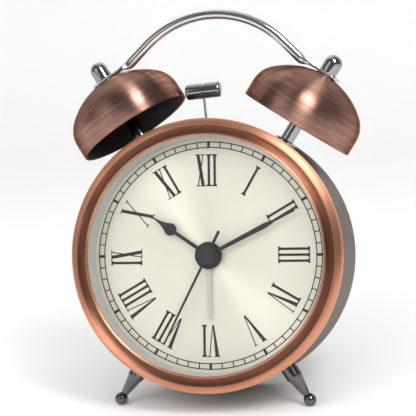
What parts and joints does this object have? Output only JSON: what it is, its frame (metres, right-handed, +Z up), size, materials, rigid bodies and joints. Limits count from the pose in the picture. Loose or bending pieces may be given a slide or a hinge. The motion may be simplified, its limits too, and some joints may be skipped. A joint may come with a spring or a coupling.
{
  "type": "alarm clock",
  "caption": "Twin-bell quartz alarm clock on ball feet, with a Roman dial, carry handle, hammer and bells on posts, and a back cover with setting knobs.",
  "frame": {"origin": "on the table, under the middle of the clock's width and depth", "axes": "+Z up, the dial faces -Y and leans back, +X to the right seen from the front"},
  "size_m": [0.1266, 0.0796, 0.1673],
  "materials": {
    "antique_copper": "brushed antique copper plating",
    "battery_sleeve": "plain printed sleeve",
    "black_plastic": "fine-textured black moulding",
    "board_green": "solder-masked board",
    "brass": "turned brass",
    "case_nickel": "satin dark nickel plating",
    "copper_wire": "enamelled copper wire",
    "dial_white": "cream enamel",
    "gunmetal": "polished dark nickel plating",
    "hand_black": "matt black lacquer",
    "hand_silver": "satin silver",
    "lens_glass": "clear flat glass",
    "natural_plastic": "natural white acetal",
    "ring_white": "pale grey moulded plastic",
    "steel": "bright zinc-plated steel"
  },
  "bodies": {
    "root": {"back_cover": "black_plastic", "battery": "battery_sleeve", "carry_handle": "gunmetal", "case_shell": "case_nickel", "circuit_board": "board_green", "coil": "copper_wire", "contact_plate": "steel", "contact_spring": "steel", "cover_screws": "steel", "dial_nut": "brass", "dial_plate": "dial_white", "dial_ring": "ring_white", "foot_nuts": "steel", "front_bezel": "antique_copper", "hammer_bracket": "steel", "hammer_motor": "steel", "hammer_pivot": "steel", "left_bell": "antique_copper", "left_bell_post": "gunmetal", "left_cap_nut": "gunmetal", "left_foot": "gunmetal", "lens": "lens_glass", "movement_back": "black_plastic", "movement_front": "black_plastic", "movement_screws": "steel", "post_nuts": "steel", "post_washers": "gunmetal", "quartz_crystal": "steel", "right_bell": "antique_copper", "right_bell_post": "gunmetal", "right_cap_nut": "gunmetal", "right_foot": "gunmetal", "stator": "steel", "train_plate": "natural_plastic"},
    "minute": {"minute_hand": "hand_black", "cannon_pinion": "natural_plastic"},
    "hour": {"hour_hand": "hand_black", "hour_wheel": "natural_plastic"},
    "second": {"second_hand": "hand_black", "second_wheel": "natural_plastic"},
    "alarm": {"alarm_hand": "hand_silver", "alarm_wheel": "natural_plastic"},
    "time_setter": {"motion_wheel": "natural_plastic", "time_knob": "black_plastic"},
    "alarm_setter": {"alarm_setting_wheel": "natural_plastic", "alarm_knob": "black_plastic"},
    "centre": {"centre_wheel": "natural_plastic"},
    "third": {"third_wheel": "natural_plastic"},
    "step": {"step_wheel": "natural_plastic"},
    "rotor": {"rotor": "steel"},
    "cam": {"motor_cam": "natural_plastic"},
    "hammer": {"hammer_arm": "natural_plastic", "hammer_wire": "steel", "hammer_head": "gunmetal"},
    "switch": {"alarm_switch": "natural_plastic"},
    "door": {"battery_door": "black_plastic"}
  },
  "joints": [
    {"name": "minute_spin", "type": "hinge", "parent": "root", "child": "minute", "pos_m": [0, -0.02097, 0.06572], "axis": [0, 0.9807, -0.1955], "continuous": true},
    {"name": "hour_spin", "type": "hinge", "parent": "root", "child": "hour", "pos_m": [0, -0.01999, 0.06552], "axis": [0, 0.9807, -0.1955], "continuous": true},
    {"name": "time_setting", "type": "hinge", "parent": "root", "child": "time_setter", "pos_m": [0.015, 0.00943, 0.05965], "axis": [0, 0.9807, -0.1955], "continuous": true},
    {"name": "second_spin", "type": "hinge", "parent": "root", "child": "second", "pos_m": [0, -0.02195, 0.06591], "axis": [0, 0.9807, -0.1955], "continuous": true},
    {"name": "third_spin", "type": "hinge", "parent": "root", "child": "third", "pos_m": [0, -0.00583, 0.07518], "axis": [0, 0.9807, -0.1955], "continuous": true},
    {"name": "centre_spin", "type": "hinge", "parent": "root", "child": "centre", "pos_m": [0, -0.0095, 0.06343], "axis": [0, 0.9807, -0.1955], "continuous": true},
    {"name": "step_spin", "type": "hinge", "parent": "root", "child": "step", "pos_m": [0, -0.00912, 0.05357], "axis": [0, 0.9807, -0.1955], "continuous": true},
    {"name": "rotor_spin", "type": "hinge", "parent": "root", "child": "rotor", "pos_m": [-0.006, -0.01027, 0.0478], "axis": [0, 0.9807, -0.1955], "continuous": true},
    {"name": "alarm_spin", "type": "hinge", "parent": "root", "child": "alarm", "pos_m": [0, -0.01901, 0.06533], "axis": [0, 0.9807, -0.1955], "continuous": true},
    {"name": "alarm_setting", "type": "hinge", "parent": "root", "child": "alarm_setter", "pos_m": [-0.015, 0.00943, 0.05965], "axis": [0, 0.9807, -0.1955], "continuous": true},
    {"name": "cam_spin", "type": "hinge", "parent": "root", "child": "cam", "pos_m": [0, 0.00236, 0.06514], "axis": [0, 0.9807, -0.1955], "continuous": true},
    {"name": "hammer_swing", "type": "hinge", "parent": "root", "child": "hammer", "pos_m": [0, 0.00157, 0.0755], "axis": [0, 0.9807, -0.1955], "range_deg": [-0.4, 10.6]},
    {"name": "alarm_switch_slide", "type": "slide", "parent": "root", "child": "switch", "axis": [1, 0, 0], "range_m": [0, 0.0046]},
    {"name": "battery_door_slide", "type": "slide", "parent": "root", "child": "door", "axis": [0, -0.1955, -0.9807], "range_m": [0, 0.008]}
  ],
  "couplings": [
    {"joint": "hour_spin", "follows": "minute_spin", "ratio": 0.083333},
    {"joint": "time_setting", "follows": "minute_spin", "ratio": -0.33333},
    {"joint": "third_spin", "follows": "second_spin", "ratio": -0.13333},
    {"joint": "centre_spin", "follows": "second_spin", "ratio": 0.016667},
    {"joint": "step_spin", "follows": "second_spin", "ratio": -5},
    {"joint": "rotor_spin", "follows": "second_spin", "ratio": 30},
    {"joint": "alarm_setting", "follows": "alarm_spin", "ratio": -1}
  ]
}
